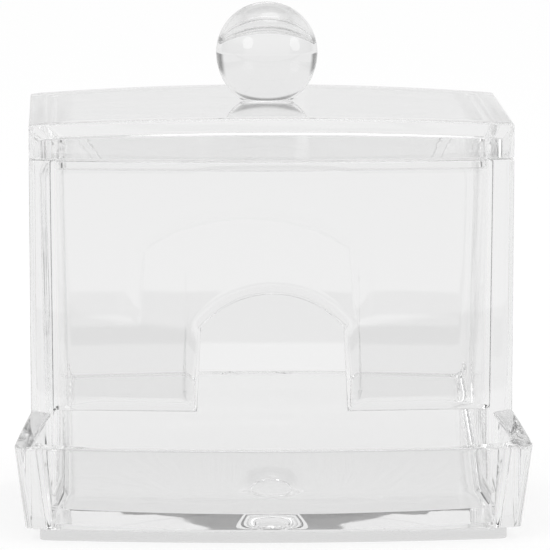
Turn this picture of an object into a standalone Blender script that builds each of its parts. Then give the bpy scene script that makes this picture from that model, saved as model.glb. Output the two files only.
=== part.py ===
# Clear moulded dispenser for flat cotton pads: a bowed box with an arch in its front wall, a tray in
# front, a sloping floor, and a vaulted lid with a ball knob. Lengths are in metres. X runs across the
# front, Y from front to back, Z up. The origin is under the middle of the outline, level with the
# underside.
import math

import bmesh
import bpy
from mathutils import Vector

# Box
BOX_WIDTH = 0.0954
BOX_DEPTH = 0.0750
RIM_HEIGHT = 0.0733
SIDE_WALL = 0.0043
FRONT_WALL = 0.0030
BACK_WALL = 0.0030
FRONT_BOW = 0.0055
BACK_BOW = 0.0035
BOX_CORNER = 0.0015
BOX_INNER_CORNER = 0.0030
OUTER_DRAFT = 0.0004
INNER_DRAFT = 0.0008

# Opening in the front wall
SLOT_TOP = 0.0240
JAMB_LIP = 0.0004
ARCH_FOOT_WIDTH = 0.0296
ARCH_SPRING_WIDTH = 0.0280
ARCH_SPRING_HEIGHT = 0.0406
ARCH_TOP_HEIGHT = 0.0472

# Tray, whose front corners stand out past the box's sides by the flare
TRAY_FLARE = 0.0029
TRAY_REACH = 0.0150
TRAY_BOW = 0.0050
TRAY_FRONT_HEIGHT = 0.0184
TRAY_SIDE_WALL = 0.0043
TRAY_FRONT_WALL = 0.0030
TRAY_CORNER = 0.0018
TRAY_INNER_CORNER = 0.0024
TRAY_DRAFT_DEGREES = 7.5

# Base plate
BASE_SIDE_INSET = 0.0020
BASE_THICKNESS = 0.0020
BASE_BACK_INSET = 0.0015
BASE_CORNER = 0.0020

# Ramp
RAMP_BACK_HEIGHT = 0.0228
RAMP_FRONT_HEIGHT = 0.0056
RAMP_THICKNESS = 0.0024
RAMP_FLANGE_HEIGHT = 0.0026
RAMP_FLANGE_THICKNESS = 0.0008
RAMP_FILLET = 0.0018
GATE_DISC_DIAMETER = 0.0080
GATE_DISC_HEIGHT = 0.0005
GATE_DISC_SETBACK = 0.0044

# Lid, whose height runs from the foot of its skirt to the crown of its vault
LID_HEIGHT = 0.0083
LID_VAULT = 0.0016
LID_PLATE = 0.0031
LID_SKIRT = 0.0025
LIP_WALL = 0.0017
LIP_DROP = 0.0023
LIP_CORNER = 0.0026
LIP_INNER_CORNER = 0.0018

# Knob
BALL_DIAMETER = 0.0204
BALL_CENTRE_RISE = 0.0094
COLLAR_DIAMETER = 0.0118

# Fits: the gap at each joint, the overrun of every cut, and the share of the gap that merges points
JOINT_GAP = 0.0003
OVERRUN = 0.0060
WELD_SHARE = 0.01

# Finishes: a colour and a roughness
BODY_FINISH = ((0.92, 0.93, 0.93), 0.03)
RAMP_FINISH = ((0.91, 0.92, 0.92), 0.06)
KNOB_FINISH = ((0.94, 0.95, 0.95), 0.01)

# Counts of straight steps along curves
BOW_STEPS = 24
CORNER_STEPS = 6
ARCH_STEPS = 20
BALL_STEPS = 24
BALL_SEGMENTS = 48

# Heights and places worked out from the sizes above
box_foot = BASE_THICKNESS + JOINT_GAP
outline_length = TRAY_BOW + TRAY_REACH + BOX_DEPTH + BACK_BOW
box_front_reach = outline_length / 2 - TRAY_BOW - TRAY_REACH
box_back_reach = outline_length / 2 - BACK_BOW
box_front_y = -box_front_reach
box_middle_y = (box_back_reach - box_front_reach) / 2
tray_width = BOX_WIDTH + 2 * TRAY_FLARE
lid_foot = RIM_HEIGHT + JOINT_GAP
lid_crown_top = lid_foot + LID_HEIGHT
lid_edge_top = lid_crown_top - LID_VAULT
knob_foot = lid_crown_top + JOINT_GAP
weld_distance = JOINT_GAP * WELD_SHARE


def edge_of(width, reach, bow, radius):
    """One bowed end of a plan outline: its corners lie at half the width, this far from the origin."""
    return {"half": width / 2, "reach": reach, "bow": bow, "radius": radius}


def bow_circle(edge):
    """Radius of the bow's circle, and how far its centre lies from the origin towards the end."""
    radius = (edge["half"] ** 2 + edge["bow"] ** 2) / (2 * edge["bow"])
    return radius, edge["reach"] + edge["bow"] - radius


def inset(edge, side, wall, radius):
    """The same end moved in by a side wall and by an end wall, with its own corner radius."""
    bow_radius, centre = bow_circle(edge)
    half = edge["half"] - side
    reach = centre + math.sqrt((bow_radius - wall) ** 2 - half**2)
    return {"half": half, "reach": reach, "bow": centre + bow_radius - wall - reach, "radius": radius}


def arc(centre_x, centre_y, radius, start, end, steps):
    """Points on a circle from one angle to another, in radians."""
    angles = [start + (end - start) * i / steps for i in range(steps + 1)]
    return [(centre_x + radius * math.cos(a), centre_y + radius * math.sin(a)) for a in angles]


def front_points(edge):
    """The front end from left to right: a corner, the bow and a corner, each tangent to the next."""
    bow_radius, centre = bow_circle(edge)
    corner_x = edge["half"] - edge["radius"]
    rise = math.sqrt((bow_radius - edge["radius"]) ** 2 - corner_x**2)
    corner_y = -centre - rise
    lean = math.atan2(corner_x, rise)
    down = 1.5 * math.pi
    left = arc(-corner_x, corner_y, edge["radius"], math.pi, down - lean, CORNER_STEPS)
    bow = arc(0, -centre, bow_radius, down - lean, down + lean, BOW_STEPS)
    right = arc(corner_x, corner_y, edge["radius"], down + lean, 2 * math.pi, CORNER_STEPS)
    return left + bow[1:-1] + right


def back_points(edge):
    """The back end from right to left."""
    return [(-x, -y) for x, y in front_points(edge)]


def box_outline(front, back):
    return front_points(front) + back_points(back)


def at_height(points, z):
    return [Vector((x, y, z)) for x, y in points]


def new_mesh_object(name, mesh, collection):
    thing = bpy.data.objects.new(name, mesh)
    collection.objects.link(thing)
    return thing


def loft(name, loops, collection):
    """A closed solid through loops that have the same number of points, with a flat cap on each end."""
    shape = bmesh.new()
    rings = [[shape.verts.new(point) for point in loop] for loop in loops]
    count = len(rings[0])
    for low, high in zip(rings, rings[1:]):
        for i in range(count):
            j = (i + 1) % count
            shape.faces.new((low[i], low[j], high[j], high[i]))
    shape.faces.new(rings[0])
    shape.faces.new(rings[-1])
    bmesh.ops.recalc_face_normals(shape, faces=shape.faces)
    mesh = bpy.data.meshes.new(name)
    shape.to_mesh(mesh)
    shape.free()
    return new_mesh_object(name, mesh, collection)


def flat_bar(name, outline, length, collection):
    """A flat outline drawn in X and Y, thickened to this length around the plane, as a mesh."""
    curve = bpy.data.curves.new(name, "CURVE")
    curve.dimensions = "2D"
    curve.fill_mode = "BOTH"
    curve.extrude = length / 2
    spline = curve.splines.new("POLY")
    spline.points.add(len(outline) - 1)
    for point, (x, y) in zip(spline.points, outline):
        point.co = (x, y, 0, 1)
    spline.use_cyclic_u = True
    guide = bpy.data.objects.new(name + "_outline", curve)
    collection.objects.link(guide)
    evaluated = guide.evaluated_get(bpy.context.evaluated_depsgraph_get())
    mesh = bpy.data.meshes.new_from_object(evaluated)
    mesh.name = name
    welded = bmesh.new()
    welded.from_mesh(mesh)
    bmesh.ops.remove_doubles(welded, verts=welded.verts, dist=weld_distance)
    bmesh.ops.recalc_face_normals(welded, faces=welded.faces)
    welded.to_mesh(mesh)
    welded.free()
    bar = new_mesh_object(name, mesh, collection)
    bar.matrix_world = guide.matrix_world.copy()
    bpy.data.objects.remove(guide)
    return bar


def across_y(name, outline, length, middle_y, collection):
    """A bar along Y whose section is drawn in X and Z."""
    bar = flat_bar(name, outline, length, collection)
    bar.rotation_euler = (math.pi / 2, 0, 0)
    bar.location = (0, middle_y, 0)
    return bar


def across_x(name, outline, length, collection):
    """A bar along X whose section is drawn in Y and Z."""
    bar = flat_bar(name, outline, length, collection)
    bar.rotation_euler = (math.pi / 2, 0, math.pi / 2)
    return bar


def join(target, operation, tool):
    """Cut, join or trim one solid with another, which stays in the file as a wire guide."""
    step = target.modifiers.new(operation.lower() + "_" + tool.name, "BOOLEAN")
    step.operation = operation
    step.object = tool
    step.solver = "EXACT"
    tool.hide_render = True
    tool.display_type = "WIRE"


def clear_plastic(name, plastic_finish):
    colour, roughness = plastic_finish
    material = bpy.data.materials.new(name)
    material.use_nodes = True
    shader = material.node_tree.nodes["Principled BSDF"]
    shader.inputs["Base Color"].default_value = (*colour, 1)
    shader.inputs["Roughness"].default_value = roughness
    shader.inputs["Metallic"].default_value = 0
    shader.inputs["Transmission Weight"].default_value = 1
    return material


def set_origin(thing, point, parent=None):
    """Put the object's origin at a point of the world, with its shape left where it is."""
    for vertex in thing.data.vertices:
        vertex.co -= point
    thing.location = point
    if parent:
        thing.parent = parent
        thing.location = point - parent.location


def finish(thing, material, smooth_degrees=30):
    thing.data.materials.clear()
    thing.data.materials.append(material)
    thing.data.shade_smooth()
    thing.data.set_sharp_from_angle(angle=math.radians(smooth_degrees))
    return thing


def box_ends():
    """The front and back ends of the box's outer face, at the rim and at the foot."""
    front = edge_of(BOX_WIDTH, box_front_reach, FRONT_BOW, BOX_CORNER)
    back = edge_of(BOX_WIDTH, box_back_reach, BACK_BOW, BOX_CORNER)
    low_front = inset(front, OUTER_DRAFT, OUTER_DRAFT, BOX_CORNER)
    low_back = inset(back, OUTER_DRAFT, OUTER_DRAFT, BOX_CORNER)
    return front, back, low_front, low_back


def box_inner_ends():
    """The front and back ends of the box's inner face, at the rim and at the foot."""
    front, back, _, _ = box_ends()
    rim_front = inset(front, SIDE_WALL, FRONT_WALL, BOX_INNER_CORNER)
    rim_back = inset(back, SIDE_WALL, BACK_WALL, BOX_INNER_CORNER)
    low_front = inset(rim_front, INNER_DRAFT, OUTER_DRAFT, BOX_INNER_CORNER)
    low_back = inset(rim_back, INNER_DRAFT, OUTER_DRAFT, BOX_INNER_CORNER)
    return rim_front, rim_back, low_front, low_back


def slot_half_width():
    return box_inner_ends()[2]["half"] - JAMB_LIP


def arch_outline():
    """The arch's section from below the slot's top up its leaning sides and over its round top."""
    rise = ARCH_TOP_HEIGHT - ARCH_SPRING_HEIGHT
    spring = ARCH_SPRING_WIDTH / 2
    radius = (spring**2 + rise**2) / (2 * rise)
    spread = math.asin(spring / radius)
    upright = math.pi / 2
    top = arc(0, ARCH_TOP_HEIGHT - radius, radius, upright - spread, upright + spread, ARCH_STEPS)
    foot = ARCH_FOOT_WIDTH / 2
    lean = (foot - spring) / (ARCH_SPRING_HEIGHT - SLOT_TOP)
    start = foot + lean * OVERRUN
    low = SLOT_TOP - OVERRUN
    return [(-start, low), (start, low)] + top


def make_body_shell(parts, cutters, material):
    """The four walls, open above and below, less the slot and the arch in the front."""
    front, back, low_front, low_back = box_ends()
    foot = at_height(box_outline(low_front, low_back), box_foot)
    rim = at_height(box_outline(front, back), RIM_HEIGHT)
    shell = loft("body_shell", [foot, rim], parts)

    rim_front, rim_back, low_front, low_back = box_inner_ends()
    slope = OVERRUN / (RIM_HEIGHT - box_foot)
    under_front = inset(low_front, INNER_DRAFT * slope, OUTER_DRAFT * slope, BOX_INNER_CORNER)
    under_back = inset(low_back, INNER_DRAFT * slope, OUTER_DRAFT * slope, BOX_INNER_CORNER)
    over_front = inset(rim_front, -INNER_DRAFT * slope, -OUTER_DRAFT * slope, BOX_INNER_CORNER)
    over_back = inset(rim_back, -INNER_DRAFT * slope, -OUTER_DRAFT * slope, BOX_INNER_CORNER)
    below = at_height(box_outline(under_front, under_back), box_foot - OVERRUN)
    above = at_height(box_outline(over_front, over_back), RIM_HEIGHT + OVERRUN)
    cavity = loft("body_cavity", [below, above], cutters)
    join(shell, "DIFFERENCE", cavity)

    half = slot_half_width()
    cut_back = box_front_y + FRONT_WALL + BOX_INNER_CORNER + OVERRUN
    cut_front = box_front_y - FRONT_BOW - OVERRUN
    cut_length = cut_back - cut_front
    cut_middle = (cut_front + cut_back) / 2
    section = [(-half, 0), (half, 0), (half, SLOT_TOP), (-half, SLOT_TOP)]
    join(shell, "DIFFERENCE", across_y("front_slot", section, cut_length, cut_middle, cutters))
    join(shell, "DIFFERENCE", across_y("front_arch", arch_outline(), cut_length, cut_middle, cutters))
    set_origin(shell, Vector((0, box_middle_y, box_foot)))
    return finish(shell, material)


def tray_draft(height):
    """How far the tray's outer face leans in at a height, counted from the rim in front."""
    return math.tan(math.radians(TRAY_DRAFT_DEGREES)) * (TRAY_FRONT_HEIGHT - height)


def tray_front(height, side, wall, radius):
    """The tray's front end at a height, moved in by its walls."""
    tray = edge_of(tray_width, box_front_reach + TRAY_REACH, TRAY_BOW, TRAY_CORNER)
    draft = tray_draft(height)
    return inset(tray, draft + side, draft + wall, radius)


def tray_outline(height, side, wall, radius):
    """The tray's plan at a height, moved in by its walls: drafted in front, flush with the box behind."""
    front, _, low_front, _ = box_ends()
    tray = tray_front(height, side, wall, radius)
    share = (height - box_foot) / (RIM_HEIGHT - box_foot)
    shoulder = low_front["half"] + (front["half"] - low_front["half"]) * share - side
    back = box_front_y + OVERRUN
    sides = [(shoulder, box_front_y), (shoulder, back), (-shoulder, back), (-shoulder, box_front_y)]
    return front_points(tray) + sides


def make_front_tray(parts, cutters, material):
    """The low flared wall that holds the pads in front, ending against the box's front corners."""
    top = SLOT_TOP + OVERRUN
    outer = [
        at_height(tray_outline(box_foot, 0, 0, TRAY_CORNER), box_foot),
        at_height(tray_outline(top, 0, 0, TRAY_CORNER), top),
    ]
    tray = loft("front_tray", outer, parts)
    low = box_foot - OVERRUN
    over = top + OVERRUN
    walls = (TRAY_SIDE_WALL, TRAY_FRONT_WALL, TRAY_INNER_CORNER)
    inner = [at_height(tray_outline(low, *walls), low), at_height(tray_outline(over, *walls), over)]
    hollow = loft("tray_hollow", inner, cutters)
    join(tray, "DIFFERENCE", hollow)

    corner_y = box_front_y - TRAY_REACH
    far = corner_y - TRAY_BOW - OVERRUN
    near = box_front_y + OVERRUN + OVERRUN
    slope = [
        (far, TRAY_FRONT_HEIGHT),
        (corner_y, TRAY_FRONT_HEIGHT),
        (box_front_y, SLOT_TOP),
        (near, SLOT_TOP),
        (near, over),
        (far, over),
    ]
    top_cut = across_x("tray_top_cut", slope, tray_width + OVERRUN, cutters)
    join(tray, "DIFFERENCE", top_cut)

    front, back, _, _ = box_ends()
    room = box_outline(
        inset(front, -JOINT_GAP, -JOINT_GAP, BOX_CORNER + JOINT_GAP),
        inset(back, -JOINT_GAP, -JOINT_GAP, BOX_CORNER + JOINT_GAP),
    )
    box_room = loft("box_room", [at_height(room, low), at_height(room, over)], cutters)
    join(tray, "DIFFERENCE", box_room)
    set_origin(tray, Vector((0, corner_y, box_foot)))
    return finish(tray, material)


def make_base_plate(parts, material):
    """The flat plate that closes the product underneath, and that it stands on."""
    width = BOX_WIDTH - 2 * BASE_SIDE_INSET
    reach = box_front_reach + TRAY_REACH - tray_draft(box_foot)
    front = edge_of(width, reach, TRAY_BOW, BASE_CORNER)
    back = edge_of(width, box_back_reach - BASE_BACK_INSET, BACK_BOW, BASE_CORNER)
    outline = box_outline(front, back)
    plate = loft("base_plate", [at_height(outline, 0), at_height(outline, BASE_THICKNESS)], parts)
    return finish(plate, material)


def ramp_section(half, top, thickness):
    """Half of the ramp's section, from the middle of its underside round the flange to its top."""
    inside = half - RAMP_FLANGE_THICKNESS
    quarter = math.pi / 2
    fillet = arc(inside - RAMP_FILLET, top + RAMP_FILLET, RAMP_FILLET, 0, -quarter, CORNER_STEPS)
    outside = [(0, top - thickness), (half, top - thickness), (half, top + RAMP_FLANGE_HEIGHT)]
    return outside + [(inside, top + RAMP_FLANGE_HEIGHT)] + fillet + [(0, top)]


def ramp_loop(y, half, top, thickness):
    right = ramp_section(half, top, thickness)
    left = [(-x, z) for x, z in reversed(right[1:-1])]
    return [Vector((x, y, z)) for x, z in right + left]


def ramp_height(y):
    """Height of the ramp's upper face at a place along Y."""
    front_y = box_front_y - TRAY_REACH
    share = (y - front_y) / (box_back_reach - front_y)
    return RAMP_FRONT_HEIGHT + (RAMP_BACK_HEIGHT - RAMP_FRONT_HEIGHT) * share


def make_dispensing_ramp(parts, cutters, material):
    """The sloping floor: a shallow channel that widens with the tray and ends along the bowed walls."""
    half = slot_half_width() - JOINT_GAP
    front_y = box_front_y - TRAY_REACH
    far_y = front_y - TRAY_BOW
    back_y = box_back_reach + BACK_BOW
    walls = (TRAY_SIDE_WALL + JOINT_GAP, TRAY_FRONT_WALL + JOINT_GAP, TRAY_INNER_CORNER)
    foot_plan = tray_outline(box_foot, *walls)
    corner_half = max(x for x, _ in foot_plan)
    widening = (corner_half - half) / TRAY_REACH
    foot_thickness = ramp_height(far_y) - box_foot
    loops = [
        ramp_loop(far_y, corner_half + widening * TRAY_BOW, ramp_height(far_y), foot_thickness),
        ramp_loop(box_front_y, half, ramp_height(box_front_y), RAMP_THICKNESS),
        ramp_loop(back_y, half, ramp_height(back_y), RAMP_THICKNESS),
    ]
    ramp = loft("dispensing_ramp", loops, parts)

    front = front_points(tray_front(box_foot, *walls))
    _, _, _, low_back = box_inner_ends()
    back = inset(low_back, JOINT_GAP, JOINT_GAP, BOX_INNER_CORNER)
    plan = front + [(half, box_front_y)] + back_points(back) + [(-half, box_front_y)]
    top = RAMP_BACK_HEIGHT + OVERRUN
    trim = loft("ramp_plan", [at_height(plan, 0), at_height(plan, top)], cutters)
    join(ramp, "INTERSECT", trim)

    sunk = RAMP_THICKNESS / 2
    depth = sunk + GATE_DISC_HEIGHT
    disc_y = box_front_y + GATE_DISC_SETBACK
    slope = math.atan2(RAMP_BACK_HEIGHT - RAMP_FRONT_HEIGHT, TRAY_REACH + BOX_DEPTH)
    disc_shape = bmesh.new()
    bmesh.ops.create_cone(
        disc_shape,
        cap_ends=True,
        segments=BALL_SEGMENTS,
        radius1=GATE_DISC_DIAMETER / 2,
        radius2=GATE_DISC_DIAMETER / 2,
        depth=depth,
    )
    disc_mesh = bpy.data.meshes.new("gate_disc")
    disc_shape.to_mesh(disc_mesh)
    disc_shape.free()
    disc = new_mesh_object("gate_disc", disc_mesh, cutters)
    disc.rotation_euler = (slope, 0, 0)
    disc.location = (0, disc_y, ramp_height(disc_y) - sunk - depth / 2)
    join(ramp, "UNION", disc)
    set_origin(ramp, Vector((0, front_y, box_foot)))
    return finish(ramp, material)


def vault_outline(crown, width, low):
    """A section with a flat foot and a top that rises by the vault from the lid's edges to its middle."""
    half = width / 2
    lid_half = BOX_WIDTH / 2
    radius = (lid_half**2 + LID_VAULT**2) / (2 * LID_VAULT)
    spread = math.asin(half / radius)
    upright = math.pi / 2
    top = arc(0, crown - radius, radius, upright - spread, upright + spread, BOW_STEPS)
    return [(-half, low), (half, low)] + top


def make_lid(parts, cutters, material, joint):
    """A vaulted plate with a skirt over the box's rim, and a lip that drops inside the rim."""
    front, back, _, _ = box_ends()
    outline = box_outline(front, back)
    over = lid_crown_top + OVERRUN
    low = lid_foot - LIP_DROP - OVERRUN
    lid = loft("lid", [at_height(outline, lid_foot), at_height(outline, over)], parts)
    wide = BOX_WIDTH + OVERRUN
    long = outline_length + OVERRUN
    vault = across_y("lid_vault", vault_outline(lid_crown_top, wide, low), long, box_middle_y, cutters)
    join(lid, "INTERSECT", vault)

    skirt_room = box_outline(
        inset(front, LID_SKIRT, LID_SKIRT, BOX_CORNER), inset(back, LID_SKIRT, LID_SKIRT, BOX_CORNER)
    )
    hollow = loft("lid_hollow", [at_height(skirt_room, low), at_height(skirt_room, over)], cutters)
    ceiling_top = lid_crown_top - LID_PLATE
    ceiling = vault_outline(ceiling_top, wide, low)
    join(hollow, "INTERSECT", across_y("lid_ceiling", ceiling, long, box_middle_y, cutters))
    join(lid, "DIFFERENCE", hollow)

    rim_front, rim_back, _, _ = box_inner_ends()
    lip_out = (JOINT_GAP, JOINT_GAP, LIP_CORNER)
    lip_in = (JOINT_GAP + LIP_WALL, JOINT_GAP + LIP_WALL, LIP_INNER_CORNER)
    lip_top = (ceiling_top + lid_edge_top) / 2
    lip_outline = box_outline(inset(rim_front, *lip_out), inset(rim_back, *lip_out))
    lip_foot = lid_foot - LIP_DROP
    lip = loft("lid_lip", [at_height(lip_outline, lip_foot), at_height(lip_outline, lip_top)], cutters)
    hole = box_outline(inset(rim_front, *lip_in), inset(rim_back, *lip_in))
    bore = loft("lid_lip_bore", [at_height(hole, low), at_height(hole, over)], cutters)
    join(lip, "DIFFERENCE", bore)
    join(lid, "UNION", lip)
    set_origin(lid, joint.location, joint)
    return finish(lid, material)


def make_ball_knob(parts, material, joint):
    """A turned ball on a short collar, with a flat foot on the crown of the lid."""
    radius = BALL_DIAMETER / 2
    collar = COLLAR_DIAMETER / 2
    centre = knob_foot + BALL_CENTRE_RISE
    end = -math.acos(collar / radius)
    profile = arc(0, centre, radius, math.pi / 2, end, BALL_STEPS)
    profile[0] = (0, centre + radius)
    profile += [(collar, knob_foot), (0, knob_foot)]
    mesh = bpy.data.meshes.new("ball_knob")
    points = [(x, 0, z - joint.location.z) for x, z in profile]
    mesh.from_pydata(points, [(i, i + 1) for i in range(len(points) - 1)], [])
    ball = new_mesh_object("ball_knob", mesh, parts)
    turn = ball.modifiers.new("turn", "SCREW")
    turn.steps = BALL_SEGMENTS
    turn.render_steps = BALL_SEGMENTS
    turn.use_merge_vertices = True
    turn.merge_threshold = weld_distance
    turn.use_smooth_shade = True
    ball.parent = joint
    mesh.materials.append(material)
    return ball


def main():
    for thing in list(bpy.data.objects):
        bpy.data.objects.remove(thing)
    parts = bpy.data.collections.new("cotton_pad_dispenser")
    cutters = bpy.data.collections.new("cutters")
    for collection in (parts, cutters):
        bpy.context.scene.collection.children.link(collection)

    body_plastic = clear_plastic("moulded_clear_polystyrene", BODY_FINISH)
    ramp_plastic = clear_plastic("moulded_clear_polystyrene_ramp", RAMP_FINISH)
    knob_plastic = clear_plastic("polished_clear_acrylic", KNOB_FINISH)

    lid_lift = bpy.data.objects.new("lid_lift", None)
    lid_lift.location = (0, box_middle_y, RIM_HEIGHT)
    parts.objects.link(lid_lift)

    make_base_plate(parts, body_plastic)
    make_body_shell(parts, cutters, body_plastic)
    make_front_tray(parts, cutters, body_plastic)
    make_dispensing_ramp(parts, cutters, ramp_plastic)
    make_lid(parts, cutters, body_plastic, lid_lift)
    make_ball_knob(parts, knob_plastic, lid_lift)


main()
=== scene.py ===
import math

import bmesh
import bpy
import numpy as np
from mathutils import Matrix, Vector


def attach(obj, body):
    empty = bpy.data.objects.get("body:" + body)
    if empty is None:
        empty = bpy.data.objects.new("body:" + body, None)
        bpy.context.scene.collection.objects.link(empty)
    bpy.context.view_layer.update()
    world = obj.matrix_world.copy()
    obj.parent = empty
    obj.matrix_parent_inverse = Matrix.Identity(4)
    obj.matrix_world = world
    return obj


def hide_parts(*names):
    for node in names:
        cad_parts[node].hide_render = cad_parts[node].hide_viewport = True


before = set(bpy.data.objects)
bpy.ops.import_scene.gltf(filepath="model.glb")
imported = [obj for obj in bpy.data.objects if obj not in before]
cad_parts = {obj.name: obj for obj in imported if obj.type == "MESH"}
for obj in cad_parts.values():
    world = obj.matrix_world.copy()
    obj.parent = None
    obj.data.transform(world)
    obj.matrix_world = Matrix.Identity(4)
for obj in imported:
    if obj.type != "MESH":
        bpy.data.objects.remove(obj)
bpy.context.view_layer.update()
print("frame loaded:", ", ".join(sorted(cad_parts)))

# Lengths are in millimetres until a mesh is made. X runs across the front, Y from the tray to the back.
mm = 0.001

box = {
    "half": 47.7, "frontReach": 29.25, "frontBow": 5.5, "backReach": 46.1, "backBow": 2.8,
    "corner": 1.5, "foot": 2.3, "rim": 73.3, "outerDraft": 0.4, "innerDraft": 0.8,
    "sideWall": 4.3, "frontWall": 3.0, "backWall": 3.0, "innerCorner": 3.0,
}
boxMiddle = (box["backReach"] - box["frontReach"]) / 2
steps = {"bow": 56, "corner": 8, "side": 20}
fineSteps = {"bow": 480, "corner": 48, "side": 40}
boxFront = (box["half"], box["frontReach"], box["frontBow"])
boxBack = (box["half"], box["backReach"], box["backBow"])


# The circle through a bowed end's two corners and its middle: its radius is (half^2 + bow^2) / (2 bow),
# and its centre lies that radius behind the middle of the bow.
def bowCircle(half, reach, bow):
    radius = (half**2 + bow**2) / (2 * bow)
    return radius, radius - bow - reach


# A bowed front end from left to right, one row for each row of side, wall and corner: a corner arc, an
# arc of the bow's circle less the wall, and a corner arc, each tangent to the next.
def bowedEnd(end, side, wall, corner, counts=steps):
    half = end[0]
    radius, centreY = bowCircle(*end)
    cornerX = half - side - corner
    rise = np.sqrt((radius - wall - corner) ** 2 - cornerX**2)
    lean = np.arctan2(cornerX, rise)
    turn = np.linspace(0, 1, counts["corner"] + 1)[None, :]
    along = np.linspace(0, 1, counts["bow"] + 1)[None, 1:-1]
    left = np.pi + (np.pi / 2 - lean) * turn
    middle = 1.5 * np.pi + lean * (2 * along - 1)
    right = 1.5 * np.pi + lean + (np.pi / 2 - lean) * turn
    bow = radius - wall
    x = [corner * np.cos(left) - cornerX, bow * np.cos(middle), cornerX + corner * np.cos(right)]
    y = [corner * np.sin(left) - rise, bow * np.sin(middle), corner * np.sin(right) - rise]
    return np.concatenate(x, axis=1), centreY + np.concatenate(y, axis=1)


# A closed plan outline, anticlockwise from the front left corner: the front end, a straight side, the
# back end (the same form turned half round) and the other side.
def planOutline(front, back, side, wall, corner, counts=steps):
    frontX, frontY = bowedEnd(front, side, wall, corner, counts)
    backX, backY = bowedEnd(back, side, wall, corner, counts)
    backX, backY = -backX, -backY
    share = np.linspace(0, 1, counts["side"] + 1)[None, 1:-1]
    rightX = frontX[:, -1:] + (backX[:, :1] - frontX[:, -1:]) * share
    rightY = frontY[:, -1:] + (backY[:, :1] - frontY[:, -1:]) * share
    leftX = backX[:, -1:] + (frontX[:, :1] - backX[:, -1:]) * share
    leftY = backY[:, -1:] + (frontY[:, :1] - backY[:, -1:]) * share
    x = np.concatenate([frontX, rightX, backX, leftX], axis=1)
    y = np.concatenate([frontY, rightY, backY, leftY], axis=1)
    return x, y


# A path of rows of values with its inner corners rounded: P + (A - P)(1 - sin t) + (B - P)(1 - cos t)
# for t from 0 to 90 degrees, where A and B lie one radius before and after the corner P.
def softCorners(path, radii, lengthColumns, count=5):
    t = np.linspace(0, np.pi / 2, count + 1)[:, None]
    pieces = [path[:1]]
    for before, corner, after, radius in zip(path, path[1:], path[2:], radii):
        toBefore = (before - corner) * radius / np.linalg.norm((before - corner)[lengthColumns])
        toAfter = (after - corner) * radius / np.linalg.norm((after - corner)[lengthColumns])
        pieces.append(corner + toBefore * (1 - np.sin(t)) + toAfter * (1 - np.cos(t)))
    return np.concatenate(pieces + [path[-1:]])


# Quads between neighbouring rows and columns of a grid whose points are numbered row by row.
def gridFaces(rows, columns, closedColumns=True, closedRows=False):
    i = np.arange(rows if closedRows else rows - 1)[:, None]
    j = np.arange(columns if closedColumns else columns - 1)[None, :]
    here, above = i * columns, (i + 1) % rows * columns
    beside = (j + 1) % columns
    return np.stack([here + j, here + beside, above + beside, above + j], axis=-1).reshape(-1, 4)


# Triangles between a ring of points and one pole.
def fan(ring, pole):
    ring = np.asarray(ring)
    return np.stack([np.full(len(ring), pole), np.roll(ring, -1), ring], axis=-1)


weldDistance = 0.002  # points closer than this are one point
sharpDegrees = 30  # edges that turn by more than this are shaded as edges


# Puts points and faces into a mesh in metres, merges what coincides, turns faces outward, and hands the
# piece to its CAD body in place of the node of the same name.
def addPiece(name, points, faces, material, body):
    mesh = bpy.data.meshes.new(name + "Form")
    mesh.from_pydata((np.asarray(points) * mm).tolist(), [], [face for group in faces for face in group])
    clean = bmesh.new()
    clean.from_mesh(mesh)
    bmesh.ops.remove_doubles(clean, verts=clean.verts, dist=weldDistance * mm)
    bmesh.ops.recalc_face_normals(clean, faces=clean.faces)
    clean.to_mesh(mesh)
    openEdges = sum(not edge.is_manifold for edge in clean.edges)
    clean.free()
    mesh.shade_smooth()
    mesh.set_sharp_from_angle(angle=math.radians(sharpDegrees))
    mesh.materials.append(material)
    piece = bpy.data.objects.new(name + "Piece", mesh)
    bpy.context.scene.collection.objects.link(piece)
    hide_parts(name)
    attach(piece, body)
    print("made", name, "with", len(mesh.polygons), "faces and", openEdges, "open edges")
    return piece


# Materials

# An sRGB hex colour as linear red, green, blue and alpha: c / 12.92 up to 0.04045, and
# ((c + 0.055) / 1.055) ^ 2.4 above it.
def hexColour(text, alpha=1.0):
    values = np.array([int(text[i:i + 2], 16) / 255 for i in (1, 3, 5)])
    linear = np.where(values <= 0.04045, values / 12.92, ((values + 0.055) / 1.055) ** 2.4)
    return (*linear.tolist(), alpha)


# Adds a node with its settings, its values by input name, and its links by input name.
def addNode(tree, kind, settings=None, values=None, links=None):
    node = tree.nodes.new(kind)
    for key, value in (settings or {}).items():
        setattr(node, key, value)
    for key, value in (values or {}).items():
        node.inputs[key].default_value = value
    for key, source in (links or {}).items():
        tree.links.new(source, node.inputs[key])
    return node


# A noise pattern's values lie around one half. This part of them is spread from full gloss to full haze.
hazePattern = {"glossAt": 0.35, "hazeAt": 0.75, "detail": 4.0, "roughness": 0.6}
ripplePattern = {"detail": 1.0, "roughness": 0.4}


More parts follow.
